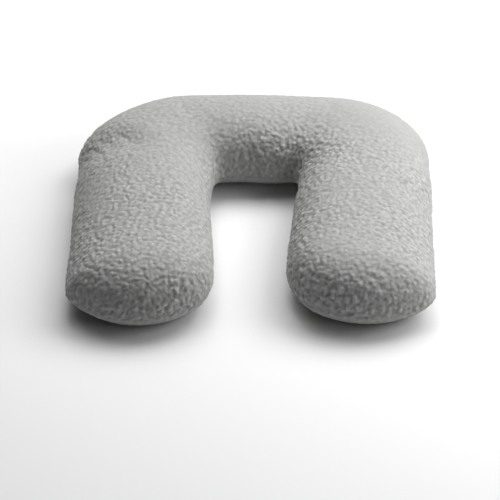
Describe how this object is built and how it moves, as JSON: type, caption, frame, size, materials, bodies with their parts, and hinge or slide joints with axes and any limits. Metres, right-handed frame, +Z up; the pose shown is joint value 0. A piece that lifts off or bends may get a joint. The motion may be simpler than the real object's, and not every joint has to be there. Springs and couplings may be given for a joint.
{
  "type": "wrap-around pillow",
  "caption": "Stuffed U-shaped pillow in pebbled knit cloth that wraps round the neck or body, lying flat with its opening forwards.",
  "frame": {"origin": "on the supporting surface, under the middle of the footprint's bounding box", "axes": "+Z up, +Y towards the closed back of the U, -Y out of the opening between the arms, +X to the right seen from the opening"},
  "size_m": [0.518, 0.4954, 0.104],
  "materials": {
    "cover": "light grey pebbled knit, matt, with a faint soft sheen"
  },
  "bodies": {
    "root": {"pillow": "cover"}
  },
  "joints": []
}
